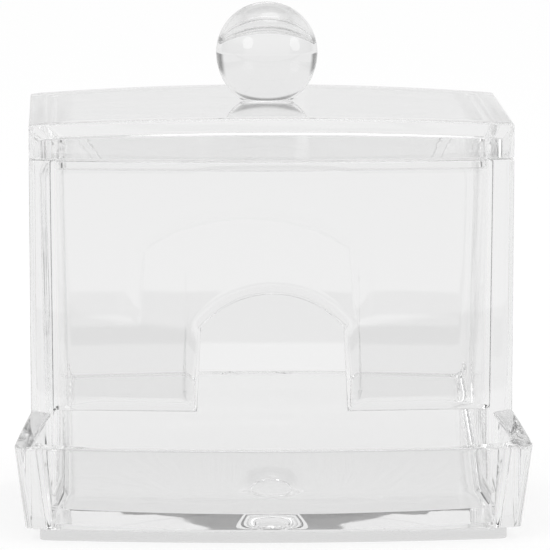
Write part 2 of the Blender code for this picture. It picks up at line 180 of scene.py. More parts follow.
# A clear moulded or polished plastic: a transmitting surface whose faint ripple is what the mould or the
# polishing leaves. The ripple is a height in millimetres, on a pattern of the given size.
def clearPlastic(name, look):
    material = bpy.data.materials.new(name)
    material.use_nodes = True
    tree = material.node_tree
    shader = tree.nodes["Principled BSDF"]
    shader.inputs["Base Color"].default_value = hexColour(look["colour"])
    shader.inputs["IOR"].default_value = look["ior"]
    shader.inputs["Transmission Weight"].default_value = 1
    place = addNode(tree, "ShaderNodeTexCoord")
    ripple = addNode(
        tree, "ShaderNodeTexNoise",
        values={"Scale": 1 / (look["rippleWidth"] * mm), "Detail": ripplePattern["detail"],
                "Roughness": ripplePattern["roughness"]},
        links={"Vector": place.outputs["Object"]},
    )
    bump = addNode(
        tree, "ShaderNodeBump",
        values={"Strength": 1.0, "Distance": look["rippleHeight"] * mm},
        links={"Height": ripple.outputs["Fac"]},
    )
    haze = addNode(
        tree, "ShaderNodeTexNoise",
        values={"Scale": 1 / (look["hazeWidth"] * mm), "Detail": hazePattern["detail"],
                "Roughness": hazePattern["roughness"]},
        links={"Vector": place.outputs["Object"]},
    )
    hazeRange = addNode(
        tree, "ShaderNodeMapRange",
        values={"From Min": hazePattern["glossAt"], "From Max": hazePattern["hazeAt"],
                "To Min": look["gloss"], "To Max": look["haze"]},
        links={"Value": haze.outputs["Fac"]},
    )
    tree.links.new(hazeRange.outputs["Result"], shader.inputs["Roughness"])
    tree.links.new(bump.outputs["Normal"], shader.inputs["Normal"])
    return material


# Moulded clear polystyrene: glass-like, faintly grey, with the slow ripple of a moulded wall.
mouldedLook = {
    "colour": "#fdfdfd", "ior": 1.59, "rippleWidth": 14.0, "rippleHeight": 0.01,
    "hazeWidth": 6.0, "gloss": 0.0, "haze": 0.02,
}
# Polished clear acrylic: the turned ball, with next to no ripple.
polishedLook = {
    "colour": "#fafafa", "ior": 1.49, "rippleWidth": 9.0, "rippleHeight": 0.001,
    "hazeWidth": 5.0, "gloss": 0.0, "haze": 0.01,
}
mouldedPolystyrene = clearPlastic("mouldedClearPolystyrene", mouldedLook)
polishedAcrylic = clearPlastic("polishedClearAcrylic", polishedLook)
print("materials made")


# Pieces made of closed outlines, one above another, between two poles

# Each path row says how far in an outline lies (share of its size, side and wall insets, corner radius),
# how high, and what share of the vault it follows. A point's z is the row's height less that share of
# the vault's sag, which is R - sqrt(R^2 - x^2).
def outlinePiece(name, front, back, path, material, body, slotName, vault=None):
    share, side, wall, corner, height, vaulted = (path[:, k:k + 1] for k in range(6))
    x, y = planOutline(front, back, side, wall, corner)
    middleY = (back[1] - front[1]) / 2
    x, y = share * x, middleY + share * (y - middleY)
    sag = vault - np.sqrt(vault**2 - x**2) if vault else 0 * x
    z = height - vaulted * sag
    grid = np.stack([x, y, z], axis=-1)
    rows, columns = x.shape
    poles = [(0, middleY, path[0, 4]), (0, middleY, path[-1, 4])]
    points = np.concatenate([grid.reshape(-1, 3), poles])
    count = rows * columns
    first, last = np.arange(columns), np.arange(count - columns, count)
    faces = [gridFaces(rows, columns).tolist(), fan(first, count).tolist(), fan(last, count + 1).tolist()]
    return addPiece(name, points, faces, material, body)


sheet = {"rows": 10, "firstShare": 0.06}


# Rows of one flat or vaulted sheet from near its pole out to its first inset.
def sheetRows(row):
    rows = np.repeat(np.array([row]), sheet["rows"], axis=0)
    rows[:, 0] = np.linspace(sheet["firstShare"], 1, sheet["rows"])
    return rows


lid = {
    "foot": 73.6, "crown": 81.9, "vault": 1.6, "plate": 3.1, "skirt": 2.5, "lipFoot": 71.3,
    "lipSide": 4.6, "lipFront": 3.3, "lipWall": 1.7, "lipCorner": 2.6, "lipInnerCorner": 1.8,
    "topEdge": 0.5, "edge": 0.3, "fillet": 0.4, "topInset": 4, "underInset": 3,
}


# The section runs from the top's middle over the skirt, round the lip and back to the ceiling's middle.
def makeLid():
    ceiling = lid["crown"] - lid["plate"]
    skirt, corner = lid["skirt"], box["corner"]
    outSide, outWall = lid["lipSide"], lid["lipFront"]
    inSide, inWall = outSide + lid["lipWall"], outWall + lid["lipWall"]
    topInset, underInset = lid["topInset"], lid["underInset"]
    top = (1, topInset, topInset, corner, lid["crown"], 1)
    under = (1, inSide + underInset, inWall + underInset, lid["lipInnerCorner"], ceiling, 1)
    path = np.array([
        top,
        (1, 0, 0, corner, lid["crown"], 1),
        (1, 0, 0, corner, lid["foot"], 0),
        (1, skirt, skirt, corner, lid["foot"], 0),
        (1, skirt, skirt, corner, ceiling, 1),
        (1, outSide, outWall, lid["lipCorner"], ceiling, 1),
        (1, outSide, outWall, lid["lipCorner"], lid["lipFoot"], 0),
        (1, inSide, inWall, lid["lipInnerCorner"], lid["lipFoot"], 0),
        (1, inSide, inWall, lid["lipInnerCorner"], ceiling, 1),
        under,
    ])
    edge, fillet = lid["edge"], lid["fillet"]
    soft = softCorners(path, [lid["topEdge"], edge, edge, fillet, edge, edge, edge, fillet], [2, 4])
    rows = np.concatenate([sheetRows(top)[:-1], soft, sheetRows(under)[-2::-1]])
    radius, _ = bowCircle(box["half"], 0, lid["vault"])
    ends = (boxFront, boxBack)
    return outlinePiece("lid", *ends, rows, mouldedPolystyrene, "lid_and_knob", "clear_lid", radius)


makeLid()

basePlate = {
    "half": 45.7, "frontReach": 42.13, "frontBow": 5.0, "backReach": 44.25, "backBow": 3.5,
    "corner": 2.0, "thickness": 2.0, "lowEdge": 0.3, "topEdge": 0.2, "inset": 3,
}


def makeBasePlate():
    front = (basePlate["half"], basePlate["frontReach"], basePlate["frontBow"])
    back = (basePlate["half"], basePlate["backReach"], basePlate["backBow"])
    corner, thickness, inset = basePlate["corner"], basePlate["thickness"], basePlate["inset"]
    under, over = (1, inset, inset, corner, 0, 0), (1, inset, inset, corner, thickness, 0)
    path = np.array([under, (1, 0, 0, corner, 0, 0), (1, 0, 0, corner, thickness, 0), over])
    soft = softCorners(path, [basePlate["lowEdge"], basePlate["topEdge"]], [2, 4])
    rows = np.concatenate([sheetRows(under)[:-1], soft, sheetRows(over)[-2::-1]])
    return outlinePiece("base_plate", front, back, rows, mouldedPolystyrene, "dispenser", "clear_base")


makeBasePlate()

tray = {
    "half": 50.6, "reach": 44.25, "bow": 5.0, "front": 18.4, "back": 24.0, "foot": 2.3,
    "sideWall": 4.3, "frontWall": 3.0, "corner": 1.8, "innerCorner": 2.4, "draft": 7.5,
    "gap": 0.3, "topEdge": 0.6, "lowEdge": 0.3, "footInset": 1.5, "edgeSteps": 6, "sideSteps": 14,
    "meetings": 2, "settlings": 4,
}


# Where the box's front face lies at this x, moved out by a gap: on the bow's circle in the middle, and
# on the corner's circle beyond the point where the two meet.
def boxFrontY(x, gap):
    radius, centreY = bowCircle(box["half"], box["frontReach"], box["frontBow"])
    corner = box["corner"] + gap
    cornerX = box["half"] - box["corner"]
    rise = np.sqrt((radius - box["corner"]) ** 2 - cornerX**2)
    meets = (radius + gap) * np.sin(np.arctan2(cornerX, rise))
    away = np.abs(x)
    onBow = centreY - np.sqrt((radius + gap) ** 2 - np.minimum(away, meets) ** 2)
    onCorner = centreY - rise - np.sqrt(np.maximum(corner**2 - np.maximum(away - cornerX, 0) ** 2, 0))
    return np.where(away <= meets, onBow, onCorner)


# One face of the tray's wall in plan at these heights: a straight side from the box's face, the bowed
# front end, and the other side. It leans in by the draft's tangent times the height below the front rim.
def trayFace(z, side, wall, corner):
    draft = np.tan(np.radians(tray["draft"])) * (tray["front"] - z)
    end = (tray["half"], tray["reach"], tray["bow"])
    x, y = bowedEnd(end, side + draft, wall + draft, corner)
    rise = (z - box["foot"]) / (box["rim"] - box["foot"])
    shoulder = box["half"] - box["outerDraft"] * (1 - rise) - side
    cornerX, cornerY = x[:, -1:], y[:, -1:]
    # the place where the straight side meets the box's face is found in a few steps
    meetX, meetY = shoulder, boxFrontY(shoulder, tray["gap"])
    for _ in range(tray["meetings"]):
        along = (meetY - cornerY) / (-box["frontReach"] - cornerY)
        meetX = cornerX + (shoulder - cornerX) * along
        meetY = boxFrontY(meetX, tray["gap"])
    share = np.linspace(0, 1, tray["sideSteps"] + 1)[None, 1:]
    sideX, sideY = cornerX + (meetX - cornerX) * share, cornerY + (meetY - cornerY) * share
    x = np.concatenate([-sideX[:, ::-1], x, sideX], axis=1)
    y = np.concatenate([sideY[:, ::-1], y, sideY], axis=1)
    return x, y


# Height of the tray's rim: level at the front end, and rising in a straight line to the box.
def trayTop(y):
    rise = (tray["back"] - tray["front"]) / (tray["reach"] - box["frontReach"])
    return tray["front"] + rise * np.maximum(y + tray["reach"], 0)


# One face of the tray's wall where each point of a grid has its own height. For each row of heights the
# whole face is worked out at every one of them, and each column keeps the point at its own height.
def trayFaceAt(heights, side, wall, corner):
    faces = [trayFace(row[:, None], side, wall, corner) for row in heights]
    x, y = ([np.diagonal(face[axis]) for face in faces] for axis in (0, 1))
    return np.stack(x), np.stack(y)


# The wall's closed section, from its outer foot over its rim to its inner foot, is carried along the
# U-shaped path. A section row says how far in it lies (millimetres and shares of the wall), whether it
# hangs from the rim or stands on the foot, and its height from there. The rim's height depends on y and
# y on the height, so the two are worked out in turn until they settle.
def makeTray():
    low, edge, footInset = tray["lowEdge"], tray["topEdge"], tray["footInset"]
    t = np.linspace(0, np.pi / 2, tray["edgeSteps"] + 1)
    outerFoot = [(low * (1 - np.sin(a)), 0, 0, low * (1 - np.cos(a))) for a in t[::2]]
    outerRim = [(edge * (1 - np.cos(a)), 0, 1, -edge * (1 - np.sin(a))) for a in t]
    innerRim = [(-edge * (1 - np.sin(a)), 1, 1, -edge * (1 - np.cos(a))) for a in t]
    innerFoot = [(-low * (1 - np.cos(a)), 1, 0, low * (1 - np.sin(a))) for a in t[::2]]
    start, end = (footInset, 0, 0, 0), (-footInset, 1, 0, 0)
    section = np.array([start, *outerFoot, *outerRim, *innerRim, *innerFoot, end])
    inward, share, hangs, offset = (section[:, k:k + 1] for k in range(4))
    along, _ = trayFace(np.array([[tray["foot"]]]), 0, 0, tray["corner"])
    z = np.where(hangs > 0, tray["front"], tray["foot"]) + offset + 0 * along
    for _ in range(tray["settlings"]):
        outerX, outerY = trayFaceAt(z, 0, 0, tray["corner"])
        innerX, innerY = trayFaceAt(z, tray["sideWall"], tray["frontWall"], tray["innerCorner"])
        thickness = np.hypot(innerX - outerX, innerY - outerY)
        blend = inward / thickness + share
        x, y = outerX + (innerX - outerX) * blend, outerY + (innerY - outerY) * blend
        z = np.where(hangs > 0, trayTop(y), tray["foot"]) + offset
    grid = np.stack([x, y, z], axis=-1)
    rows, columns = x.shape
    points = np.arange(rows * columns).reshape(rows, columns)
    faces = [gridFaces(rows, columns, closedColumns=False, closedRows=True).tolist()]
    faces.append([points[:, 0].tolist(), points[:, -1].tolist()])
    return addPiece("front_tray", grid.reshape(-1, 3), faces, mouldedPolystyrene, "dispenser")


makeTray()

knob = {
    "radius": 10.2, "centre": 91.6, "lowRadius": 11.0, "foot": 82.2, "footEdge": 0.1,
    "segments": 128, "rows": 90,
}


# The ball is turned about the lid's middle. Radius and height of its profile are r = R cos a and
# z = centre + h sin a down to the foot, where h is R in the upper half and a little more in the lower
# one, then comes the flat foot. Each profile point is turned: x = r cos b and y = middle + r sin b.
def makeKnob():
    low = -math.asin((knob["centre"] - knob["foot"] - knob["footEdge"]) / knob["lowRadius"])
    angle = np.linspace(math.pi / 2, low, knob["rows"] + 1)[1:]
    tall = np.where(angle > 0, knob["radius"], knob["lowRadius"])
    ball = np.stack([knob["radius"] * np.cos(angle), knob["centre"] + tall * np.sin(angle)], -1)
    footRadius = ball[-1, 0] - knob["footEdge"]
    foot = np.array([(footRadius, knob["foot"]), (footRadius / 2, knob["foot"])])
    profile = np.concatenate([ball, foot])
    turn = np.linspace(0, 2 * np.pi, knob["segments"], endpoint=False)[None, :]
    radius, z = profile[:, :1], profile[:, 1:]
    grid = np.stack([radius * np.cos(turn), boxMiddle + radius * np.sin(turn), z + 0 * turn], axis=-1)
    rows, columns = grid.shape[:2]
    count = rows * columns
    poles = [(0, boxMiddle, knob["centre"] + knob["radius"]), (0, boxMiddle, knob["foot"])]
    points = np.concatenate([grid.reshape(-1, 3), poles])
    first, last = np.arange(columns), np.arange(count - columns, count)
    faces = [gridFaces(rows, columns).tolist(), fan(first, count).tolist(), fan(last, count + 1).tolist()]
    return addPiece("ball_knob", points, faces, polishedAcrylic, "lid_and_knob")


makeKnob()

ramp = {
    "half": 41.9, "frontHalf": 43.25, "frontHeight": 5.6, "backHeight": 22.8, "thickness": 2.4,
    "frontFoot": 2.4, "flangeHeight": 2.6, "flange": 0.8, "fillet": 1.8, "edge": 0.25, "topEdge": 0.225,
    "sideReach": 4, "wallGap": 0.3, "trayRows": 8, "boxRows": 40, "flatSteps": 36,
    "gateY": -24.85, "gateRadius": 4.0, "gateDepth": 0.5,
}
# Shares of the gate mark's radius and depth, from its flat middle out over its rounded rim.
gateShares = [(0.6, 1), (0.93, 1), (0.98, 0.95), (1.0, 0.8), (1.0, 0.1), (1.03, 0)]
# Shares of the way from the gate mark to the ramp's outline, one for each ring of the underside.
ringShares = [0.08, 0.25, 0.5, 0.75]


# Height of the ramp's upper face: a straight line from the tray's corners to the box's back corners.
def rampTop(y):
    share = (y + tray["reach"]) / (box["backReach"] + tray["reach"])
    return ramp["frontHeight"] + (ramp["backHeight"] - ramp["frontHeight"]) * share


# Height of its lower face: the upper one less the thickness behind the box's front, and from there a
# straight line down to the foot at the front end.
def rampUnder(y):
    mouth, frontEnd = -box["frontReach"], -tray["reach"]
    plain = rampTop(y) - ramp["thickness"]
    share = (y - frontEnd) / (mouth - frontEnd)
    wedge = ramp["frontFoot"] + (rampTop(mouth) - ramp["thickness"] - ramp["frontFoot"]) * share
    return np.where(y < mouth, wedge, plain)


# Where a rounded bowed end lies at this x: on the bow's circle, or beyond the tangent point on the
# corner's circle. The result is measured from the origin towards the end.
def endReach(x, end, side, wall, corner):
    radius, centreY = bowCircle(*end)
    cornerX = end[0] - side - corner
    rise = np.sqrt((radius - wall - corner) ** 2 - cornerX**2)
    meets = (radius - wall) * np.sin(np.arctan2(cornerX, rise))
    away = np.abs(x)
    onBow = np.sqrt((radius - wall) ** 2 - np.minimum(away, meets) ** 2)
    onCorner = rise + np.sqrt(np.maximum(corner**2 - np.maximum(away - cornerX, 0) ** 2, 0))
    return np.where(away <= meets, onBow, onCorner) - centreY


# The channel's section runs from the right lower edge over the flange and its fillet, across the flat
# and down the other side. A column's x is g W + k, where W is the half width at that place. Each column
# runs from the tray's inner face to the box's back wall. The underside is a sheet of rings between that
# outline and the gate mark's circle.
def makeRamp():
    flange, flangeTop = ramp["flange"], ramp["flangeHeight"]
    outline = np.array([(0, 0), (0, flangeTop), (flange, flangeTop), (flange, 0), (ramp["sideReach"], 0)])
    curve = softCorners(outline, [ramp["edge"], ramp["topEdge"], ramp["fillet"]], [0, 1])[1:-1]
    flat = np.linspace(1, -1, ramp["flatSteps"] + 1)[:, None]
    reach = curve[-1, 0]
    right = np.concatenate([np.ones((len(curve), 1)), -curve[:, :1], curve[:, 1:]], axis=1)
    middle = np.concatenate([flat, -reach * flat, 0 * flat], axis=1)[1:-1]
    left = right[::-1] * [-1, -1, 1]
    columns = np.concatenate([right, middle, left])
    g, k, lift = (columns[:, i][None, :] for i in range(3))

    trayEnd = (tray["half"], tray["reach"], tray["bow"])
    draft = np.tan(np.radians(tray["draft"])) * (tray["front"] - tray["foot"])
    gap = ramp["wallGap"]
    frontX = g * ramp["frontHalf"] + k
    frontY = -endReach(frontX, trayEnd, tray["sideWall"] + gap + draft, tray["frontWall"] + gap + draft,
                       tray["innerCorner"])
    backX = g * ramp["half"] + k
    backY = endReach(backX, boxBack, box["sideWall"] + box["innerDraft"] + gap,
                     box["backWall"] + box["outerDraft"] + gap, box["innerCorner"])
    mouth = -box["frontReach"]
    inTray = np.linspace(0, 1, ramp["trayRows"] + 1)[:-1, None]
    inBox = np.linspace(0, 1, ramp["boxRows"])[:, None]
    x = np.concatenate([frontX + (backX - frontX) * inTray, backX + 0 * inBox])
    y = np.concatenate([frontY + (mouth - frontY) * inTray, mouth + (backY - mouth) * inBox])
    top = np.stack([x, y, rampTop(y) + lift], axis=-1)
    rows, count = x.shape

    # the lower outline goes round under the first row, up the left side, back along the last row
    under = np.stack([x, y, rampUnder(y)], axis=-1)
    rim = np.concatenate([under[0], under[1:, -1], under[-1, -2::-1], under[-2:0:-1, 0]])
    centre = np.array([0, ramp["gateY"]])
    away = rim[:, :2] - centre
    angle = np.arctan2(away[:, 1], away[:, 0])
    ringX, ringY = np.cos(angle), np.sin(angle)
    radius, depth = ramp["gateRadius"], ramp["gateDepth"]
    rings = []
    for size, drop in gateShares:
        px, py = centre[0] + ringX * radius * size, centre[1] + ringY * radius * size
        rings.append(np.stack([px, py, rampUnder(py) - drop * depth], axis=-1))
    outer = rings[-1]
    for share in ringShares:
        px, py = (outer + (rim - outer) * share)[:, :2].T
        rings.append(np.stack([px, py, rampUnder(py)], axis=-1))
    rings.append(rim)
    pole = np.array([[centre[0], centre[1], rampUnder(centre[1]) - depth]])
    edges = [under[0], under[-1], under[:, 0], under[:, -1]]
    points = np.concatenate([top.reshape(-1, 3), *edges, *rings, pole])

    # joins between the top sheet and the lower outline; what coincides is merged
    ends = rows * count
    faces = [gridFaces(rows, count, closedColumns=False).tolist()]
    column = np.arange(count - 1)
    front = np.stack([column, column + 1, ends + column + 1, ends + column], axis=-1)
    last = (rows - 1) * count + column
    back = np.stack([last, last + 1, ends + count + column + 1, ends + count + column], axis=-1)
    row = np.arange(rows - 1)
    sides = ends + 2 * count
    right = np.stack([row * count, (row + 1) * count, sides + row + 1, sides + row], axis=-1)
    leftTop = row * count + count - 1
    left = np.stack([leftTop, leftTop + count, sides + rows + row + 1, sides + rows + row], axis=-1)
    faces += [front.tolist(), back.tolist(), right.tolist(), left.tolist()]
    ringStart = sides + 2 * rows
    faces.append((gridFaces(len(rings), len(rim)) + ringStart).tolist())
    faces.append(fan(ringStart + np.arange(len(rim)), len(points) - 1).tolist())
    return addPiece("dispensing_ramp", points, faces, mouldedPolystyrene, "dispenser")


makeRamp()

shell = {
    "slotTop": 24.0, "jamb": 42.2, "archFoot": 14.8, "archSpring": 14.0, "springHeight": 40.6,
    "archTop": 47.2, "edgeRound": 1.4, "edgeSpread": 1.7, "jambRound": 0.6, "footRound": 0.3,
    "innerRound": 0.6, "rimRound": 0.35, "near": 3.0, "turn": 4.0,
    "frontSide": -22.0, "backSide": 38.0, "backFlat": 38.0,
    "roundFull": 8.0, "roundLess": 1.0, "footEase": 3.0,
    "archSteps": 24, "stretchSteps": (16, 26, 26, 30, 18, 34, 24), "bendSteps": 8, "ruledSteps": 16,
    "rimSteps": 4, "turnSteps": 4000, "sideWay": 62,
}
# Ways on the rim above the arch's crown, its spring, its foot, the jamb's top and foot, and sideWay.
rimWaysAbove = [0, 12, 17, 43.5, 50, 62]


# One face of the box's wall in plan, as a function of the way round from the middle of the front. The
# way is x up to the jamb. After that each stretch between two marks follows the outline's own length.
def wallFace(side, wall, corner, waysAtMarks=None):
    single = [np.array([[value]], float) for value in (side, wall, corner)]
    x, y = (values[0] for values in planOutline(boxFront, boxBack, *single, fineSteps))
    end = fineSteps["corner"] + fineSteps["bow"] // 2
    count = 2 * end + fineSteps["side"] + 1
    x, y = x[end:end + count], y[end:end + count]
    length = np.concatenate([[0], np.cumsum(np.hypot(np.diff(x), np.diff(y)))])
    front, back = slice(0, end + 1), slice(-end - 1, None)
    sides = slice(end, end + fineSteps["side"] + 1)
    marks = np.array([
        np.interp(shell["jamb"], x[front], length[front]),
        np.interp(shell["frontSide"], y[sides], length[sides]),
        np.interp(shell["backSide"], y[sides], length[sides]),
        np.interp(-shell["backFlat"], -x[back], length[back]),
        length[-1],
    ])
    if waysAtMarks is None:
        waysAtMarks = shell["jamb"] + marks - marks[0]

    def place(way):
        away = np.abs(way)
        onFront, beyond = np.interp(away, x[front], length[front]), np.interp(away, waysAtMarks, marks)
        along = np.where(away < shell["jamb"], onFront, beyond)
        return np.sign(way) * np.interp(along, length, x), np.interp(along, length, y)

    return place, waysAtMarks


# Half of the shell's lower edge as ways and heights, from the arch's crown down its side, along the
# slot's top, down the jamb and along the foot to the middle of the back, with the direction that leads
# into the wall at each point and the radius of its outer edge.
def lowerEdge(marks):
    rise = shell["archTop"] - shell["springHeight"]
    radius = (shell["archSpring"] ** 2 + rise**2) / (2 * rise)
    spread = math.asin(shell["archSpring"] / radius)
    angle = np.linspace(0, spread, shell["archSteps"] + 1)
    crown = np.stack([radius * np.sin(angle), shell["archTop"] - radius + radius * np.cos(angle)], -1)
    corners = np.array([
        (shell["archSpring"], shell["springHeight"]), (shell["archFoot"], shell["slotTop"]),
        (shell["jamb"], shell["slotTop"]), (shell["jamb"], box["foot"]),
        *((mark, box["foot"]) for mark in marks[1:]),
    ])
    stretches = [crown]
    for start, end, number in zip(corners, corners[1:], shell["stretchSteps"]):
        share = np.linspace(0, 1, number + 1)[1:, None]
        stretches.append(start + (end - start) * share)
    points = np.concatenate(stretches)
    # the turn of each stretch's normal, smoothed over a few millimetres of length
    step = np.diff(points, axis=0)
    turn = np.arctan2(step[:, 0], -step[:, 1])
    turn = np.where(turn > np.pi * 0.75, turn - 2 * np.pi, turn)
    along = np.concatenate([[0], np.cumsum(np.hypot(*step.T))])
    fine = np.linspace(0, along[-1], shell["turnSteps"])
    fineTurn = turn[np.clip(np.searchsorted(along, fine, side="right") - 1, 0, len(turn) - 1)]
    total = np.concatenate([[0], np.cumsum(fineTurn[1:] * np.diff(fine))])
    reach = shell["turn"]
    low, high = np.clip(along - reach, 0, along[-1]), np.clip(along + reach, 0, along[-1])
    direction = (np.interp(high, fine, total) - np.interp(low, fine, total)) / (high - low)
    direction[0] = np.pi / 2
    way, jamb = points[:, 0], shell["jamb"]
    onSlot = np.interp(way, [jamb - shell["roundFull"], jamb - shell["roundLess"]],
                       [shell["edgeRound"], shell["jambRound"]])
    onFoot = np.interp(way, [jamb, jamb + shell["footEase"]], [shell["jambRound"], shell["footRound"]])
    return points, direction, np.where(np.isclose(points[:, 1], box["foot"]), onFoot, onSlot)


# The shell is a grid: its columns start at right angles to the lower edge and run on straight to the
# rim, leaning sideways where the rim's ways ask for it. Its rows climb the outer face, turn over the rim
# and come down the inner face. Each point lies between the two faces of the wall. At an angle t round
# the lower edge it recedes by r (1 - sin t) into the wall, at a distance of s r (1 - cos t) from the
# edge, where s is the edge's spread. Over the rim it climbs by r sin t and recedes by r (1 - cos t).
def makeShell():
    drafts = [(box["outerDraft"] * (1 - rise), box["innerDraft"] * (1 - rise)) for rise in (0, 1)]
    _, marks = wallFace(0, 0, box["corner"])
    outer = [wallFace(outward, outward, box["corner"], marks)[0] for outward, _ in drafts]
    inner = [wallFace(box["sideWall"] + inward, box["frontWall"] + outward, box["innerCorner"], marks)[0]
             for outward, inward in drafts]
    edgePoints, direction, edge = lowerEdge(marks)

    # along the lower edge the jamb's height counts as way too
    jambHeight = shell["slotTop"] - box["foot"]
    travel = edgePoints[:, 0] + np.maximum(shell["slotTop"] - edgePoints[:, 1], 0)
    lowWays = [0, shell["archSpring"], shell["archFoot"], shell["jamb"], shell["jamb"] + jambHeight,
               shell["sideWay"] + jambHeight, marks[-1] + jambHeight]
    rimWays = np.interp(travel, lowWays, [*rimWaysAbove, marks[-1]])

    rimRound, zeros = shell["rimRound"], 0 * rimWays[None, :]
    top = box["rim"] - rimRound
    bend = np.linspace(0, np.pi / 2, shell["bendSteps"] + 1)[:, None]
    share = np.linspace(0, 1, shell["ruledSteps"] + 1)[1:, None]
    over = np.linspace(0, np.pi / 2, shell["rimSteps"] + 1)[1:, None]

    # ways, heights and how far each point recedes into the wall, from the edge up to the rim
    def climb(edgeRadius):
        spread = shell["edgeSpread"] * edgeRadius
        away = np.concatenate([spread * (1 - np.cos(bend)), zeros + shell["near"]])
        recess = np.concatenate([edgeRadius * (1 - np.sin(bend)), zeros])
        way = edgePoints[:, 0] + away * np.cos(direction)
        height = edgePoints[:, 1] + away * np.sin(direction)
        ruledWay = way[-1] + (rimWays - way[-1]) * share
        ruledHeight = height[-1] + (top - height[-1]) * share
        ways = np.concatenate([way, ruledWay, rimWays + 0 * over])
        heights = np.concatenate([height, ruledHeight, top + rimRound * np.sin(over) + zeros])
        recesses = np.concatenate([recess, 0 * ruledWay, rimRound * (1 - np.cos(over)) + zeros])
        return ways, heights, recesses

    outWay, outHeight, outRecess = climb(edge)
    inWay, inHeight, inRecess = climb(np.minimum(edge, shell["innerRound"]))
    way = np.concatenate([outWay, inWay[::-1]])
    height = np.concatenate([outHeight, inHeight[::-1]])
    rise = (height - box["foot"]) / (box["rim"] - box["foot"])
    face = []
    for pair in (outer, inner):
        (footX, footY), (rimX, rimY) = pair[0](way), pair[1](way)
        face.append((footX + (rimX - footX) * rise, footY + (rimY - footY) * rise))
    (outX, outY), (inX, inY) = face
    thickness = np.hypot(inX - outX, inY - outY)
    share = np.concatenate([outRecess / thickness[:len(outRecess)],
                            1 - inRecess[::-1] / thickness[len(outRecess):]])
    half = np.stack([outX + (inX - outX) * share, outY + (inY - outY) * share, height], axis=-1)
    # the left half mirrors the right one, and the two share their first and last columns
    grid = np.concatenate([half, half[:, -2:0:-1] * [-1, 1, 1]], axis=1)
    faces = [gridFaces(*grid.shape[:2], closedRows=True).tolist()]
    return addPiece("body_shell", grid.reshape(-1, 3), faces, mouldedPolystyrene, "dispenser")


makeShell()


# Room. Lengths here are in metres. The camera and the matt floor meet white all round. The clear plastic
# meets a greyer surround, which is what makes its walls show against the white.

greySurround = 0.846
floor = {
    "colour": "#fafafa", "half": 3.0, "roughness": 0.9, "glow": 0.8,
    # gap and the three after it: the level, middle, half width and softness of a strip in front that is
    # dark in the glow seen through or mirrored in the plastic
    "gap": 0.0, "darkStripMiddle": -0.282, "darkStripHalf": 0.069, "darkStripSoft": 0.006,
    # under and its two edges: the level and extent of a painted shadow beneath the object, in the glow seen
    # through or mirrored in the plastic
    "under": 0.74, "paintedShadeEdge": 0.085, "paintedShadeFull": 0.05,
}


